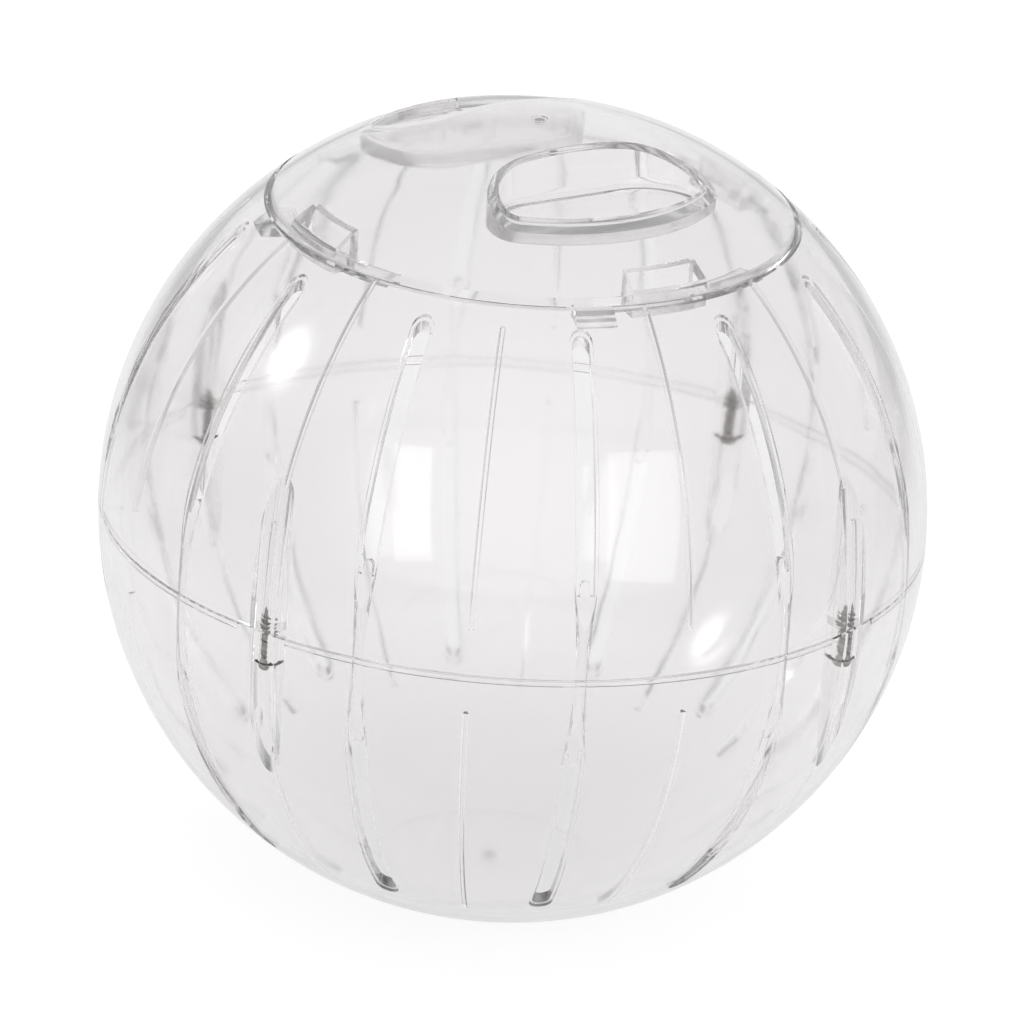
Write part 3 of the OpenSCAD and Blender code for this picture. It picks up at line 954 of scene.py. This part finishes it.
def finger_well(sizes, lid, spin):
    """The tub of a finger well, and the hollow that is cut out of it and the lid."""
    outer, inner, wall = mm(sizes.radius), mm(sizes.radius - sizes.wall), mm(sizes.wall)
    floor = outer - mm(lid.well_depth)
    fillet, lip, heel = mm(lid.well_fillet), mm(lid.well_lip), mm(lid.well_heel)

    def level(height):
        return lambda x, y: height

    def skin(fall):
        return lambda x, y: math.sqrt(outer**2 - x * x - y * y) - fall

    under, above = floor - wall, level(outer + PAST_WALL)
    rings = [well_ring(lid, wall - heel * (1 - math.sin(t)), level(under + heel * (1 - math.cos(t))))
             for t in quarter(6)]
    tub = loft("Tub", [*rings, well_ring(lid, wall, above)])
    rings = [well_ring(lid, -fillet * (1 - math.sin(t)), level(floor + fillet * (1 - math.cos(t))))
             for t in quarter(6)]
    rings += [well_ring(lid, lip * (1 - math.cos(t)), skin(lip * (1 - math.sin(t)))) for t in quarter(5)]
    hollow = loft("Hollow", [*rings, well_ring(lid, lip, above)])
    for piece in (tub, hollow):
        piece.data.transform(Matrix.Rotation(spin, 4, "Z"))
    return combine(tub, [ball("Inside", inner + wall / 3, 180)], "INTERSECT"), hollow


class BALL_OT_lid(bpy.types.Operator):
    """Build the lid with its finger wells, windows, tabs and lugs"""

    bl_idname = "ball.lid"
    bl_label = "Lid"

    def execute(self, context):
        sizes, lid = context.scene.ball_sizes, context.scene.ball_lid
        outer, inner, wall = mm(sizes.radius), mm(sizes.radius - sizes.wall), mm(sizes.wall)
        rim, tab, play = mm(lid.radius), mm(lid.tab), mm(lid.ledge_play)
        bottom = mm(sizes.ledge_height) + play
        lug_top = mm(sizes.ledge_height) - mm(sizes.ledge_wall) - play
        lug_bottom = lug_top - mm(lid.lug_height)
        gate, pit, edge = mm(lid.gate_radius), outer - mm(lid.gate_depth), mm(sizes.edge)
        profile = [(0.0, pit), (gate, pit)]
        profile += arc(outer, math.acos(gate / outer), math.acos((rim - mm(lid.bevel)) / outer))
        profile += [(rim, bottom + edge / 3), (rim - edge / 3, bottom)]
        profile += arc(inner, math.asin(bottom / inner), math.pi / 2 - STEP) + [(0.0, inner)]
        cap = lathe("Lid", profile)
        spread = {"Count": lid.lug_count, "Start": -lid.lug_width / 2, "Width": lid.lug_width}
        tabs = grown(sector_tree(), "Tabs", {
            **spread, "Inner Radius": tab - wall, "Outer Radius": tab, "Low": lug_bottom, "High": outer,
        })
        tabs = combine(tabs, [ball("Inside", inner + wall / 3, 180)], "INTERSECT")
        lugs = grown(sector_tree(), "Lugs", {
            **spread, "Inner Radius": tab - wall / 2, "Outer Radius": tab + mm(lid.lug_reach),
            "Low": lug_bottom, "High": lug_top,
        })
        tubs, hollows = zip(*[finger_well(sizes, lid, spin) for spin in (0.0, math.pi)])
        cap = combine(cap, [tabs, lugs, *tubs], "UNION")
        windows = grown(sector_tree(), "Windows", {
            **spread, "Inner Radius": tab, "Outer Radius": tab + mm(lid.window_reach),
            "Low": bottom - edge, "High": outer,
        })
        cap = combine(cap, [windows, *hollows], "DIFFERENCE")
        shade(cap, (outer, inner))
        plastic = plastic_for(context, "Lid Plastic")
        settle(cap, "Lid", plastic, "lid", ["lid"], middle_height(sizes))
        return {"FINISHED"}


class BALL_OT_screws(bpy.types.Operator):
    """Build the four self-tapping screws that hold the shells together"""

    bl_idname = "ball.screws"
    bl_label = "Shell Screws"

    def execute(self, context):
        sizes, screws = context.scene.ball_sizes, context.scene.ball_screws
        steel = once("Screw Steel", lambda: screw_steel(context.scene.ball_finish))
        tree = screw_tree()
        names = ("screw_front_right", "screw_back_right", "screw_back_left", "screw_front_left")
        for node, (turn, _, _) in zip(names, screw_spots(context)):
            piece = grown(tree, node, {
                "Reach": mm(screws.reach), "Angle": turn, "Seat Height": -mm(screws.seat),
                "Thread Diameter": mm(screws.thread), "Core Diameter": mm(screws.core),
                "Pitch": mm(screws.pitch), "Length": mm(screws.shank), "Tip Length": mm(screws.tip),
                "Head Diameter": mm(screws.head), "Head Height": mm(screws.head_height),
            })
            shade(piece, ())
            settle(piece, node.title(), steel, "ball", [node], middle_height(sizes))
        return {"FINISHED"}


def fade_out(lamp):
    """Makes a lamp fade from its middle to its edge."""
    lamp.use_nodes = True
    put = partial(add_node, lamp.node_tree)
    spot = put("ShaderNodeNewGeometry").outputs["Parametric"]
    off = measure(put, "DISTANCE", spot, (0.5, 0.5, 0.0))
    steep = calc(put, "POWER", carry(put, off, 0.0, 0.5, 1.0, 0.0, "SMOOTHSTEP"), 4.0)
    lamp.node_tree.links.new(steep, lamp.node_tree.nodes["Emission"].inputs["Strength"])


def studio(away):
    """A plain pale room, darker to the sides, so that the edges of the clear plastic show."""
    world = bpy.data.worlds.new("Studio")
    world.use_nodes = True
    world.node_tree.nodes.clear()
    put = partial(add_node, world.node_tree)
    place = put("ShaderNodeTexCoord").outputs["Generated"]
    towards = carry(put, measure(put, "DOT_PRODUCT", place, away), -1.0, 1.0, 0.0, 1.0)
    tone = put("ShaderNodeValToRGB", {"Fac": towards})
    stops = tone.color_ramp.elements
    while len(stops) < len(ROOM):
        stops.new(0.5)
    for stop, (position, level) in zip(stops, ROOM):
        stop.position = position
        stop.color = (level, level, level, 1)
    room = put("ShaderNodeBackground", {"Color": tone.outputs["Color"]})
    put("ShaderNodeOutputWorld", {"Surface": room.outputs[0]})
    return world


def stand(scene, name, data, place):
    """A camera or lamp that stands at a place."""
    holder = bpy.data.objects.new(name, data)
    holder.matrix_world = place
    scene.collection.objects.link(holder)
    return holder


class BALL_OT_stage(bpy.types.Operator):
    """Set the pale floor, the soft lamps and the camera"""

    bl_idname = "ball.stage"
    bl_label = "Stage"

    def execute(self, context):
        scene = context.scene
        scene.view_settings.view_transform = "Standard"
        scene.cycles.max_bounces = 96
        scene.cycles.transmission_bounces = 96
        scene.cycles.glossy_bounces = 48
        scene.cycles.transparent_max_bounces = 24
        side = FLOOR_HALF
        corners = [(-side, -side, 0), (side, -side, 0), (side, side, 0), (-side, side, 0)]
        floor = mesh_object("Floor", corners, [(0, 1, 2, 3)])
        floor.data.transform(Matrix.Translation((0, 0, -FLOOR_FALL)))
        floor.data.materials.append(floor_with_painted_shade(scene.ball_finish))
        away = Vector((math.sin(TURN) * math.cos(RISE), -math.cos(TURN) * math.cos(RISE), math.sin(RISE)))
        scene.world = studio(away)
        # The camera stands where the photograph was taken from.
        lens = bpy.data.cameras.new("Camera")
        lens.sensor_width = SENSOR
        lens.lens = FOCAL_PIXELS / PICTURE * SENSOR
        lens.clip_end = 20.0
        lens.shift_x, lens.shift_y = SHIFT_X / PICTURE, SHIFT_Y / PICTURE
        look = (-away).to_track_quat("-Z", "Y").to_matrix().to_4x4()
        middle = Matrix.Translation((0, 0, middle_height(scene.ball_sizes)))
        view = middle @ look @ Matrix.Rotation(ROLL, 4, "Z")
        back = Matrix.Translation((0, 0, DISTANCE * scene.ball_sizes.radius))
        scene.camera = stand(scene, "Camera", lens, view @ back)
        # A wide lamp overhead lights the floor only, and isn't mirrored in the plastic.
        lamp = bpy.data.lights.new("Overhead", "AREA")
        lamp.size, lamp.energy = OVERHEAD_SIZE, OVERHEAD_WATTS
        holder = stand(scene, "Overhead", lamp, Matrix.Translation((0, 0, OVERHEAD_HEIGHT)))
        holder.visible_glossy = holder.visible_transmission = False
        for name, shape, aside, climb, wide, tall, level in LAMPS:
            lamp = bpy.data.lights.new(name, "AREA")
            lamp.shape = shape
            lamp.size = 2 * LAMP_REACH * math.tan(math.radians(wide) / 2)
            lamp.size_y = 2 * LAMP_REACH * math.tan(math.radians(tall) / 2)
            lamp.energy = level * math.pi * lamp.size * lamp.size_y
            if shape == "ELLIPSE":
                fade_out(lamp)
            turned = Matrix.Rotation(math.radians(aside), 4, "Y")
            turned @= Matrix.Rotation(math.radians(-climb), 4, "X")
            stand(scene, name, lamp, view @ turned @ Matrix.Translation((0, 0, LAMP_REACH)))
        return {"FINISHED"}


class BALL_PT_panel(bpy.types.Panel):
    """The steps that build the hamster ball."""

    bl_label = "Hamster Ball"
    bl_idname = "BALL_PT_panel"
    bl_space_type = "VIEW_3D"
    bl_region_type = "UI"
    bl_category = "Hamster Ball"

    def draw(self, context):
        for step in STEPS:
            self.layout.operator(step.bl_idname)


STEPS = (BALL_OT_upper_shell, BALL_OT_lower_shell, BALL_OT_lid, BALL_OT_screws, BALL_OT_stage)
GROUPS = {
    "ball_sizes": BallSizes,
    "ball_slots": SlotSizes,
    "ball_lid": LidSizes,
    "ball_screws": ScrewSizes,
    "ball_finish": Finish,
}
CLASSES = (*GROUPS.values(), *STEPS, BALL_PT_panel)


def register():
    for kind in CLASSES:
        bpy.utils.register_class(kind)
    for name, kind in GROUPS.items():
        setattr(bpy.types.Scene, name, PointerProperty(type=kind))


def unregister():
    for name in GROUPS:
        delattr(bpy.types.Scene, name)
    for kind in reversed(CLASSES):
        bpy.utils.unregister_class(kind)


def main():
    register()
    bpy.ops.ball.upper_shell()
    bpy.ops.ball.lower_shell()
    bpy.ops.ball.lid()
    bpy.ops.ball.screws()
    bpy.ops.ball.stage()


if __name__ == "__main__":
    main()
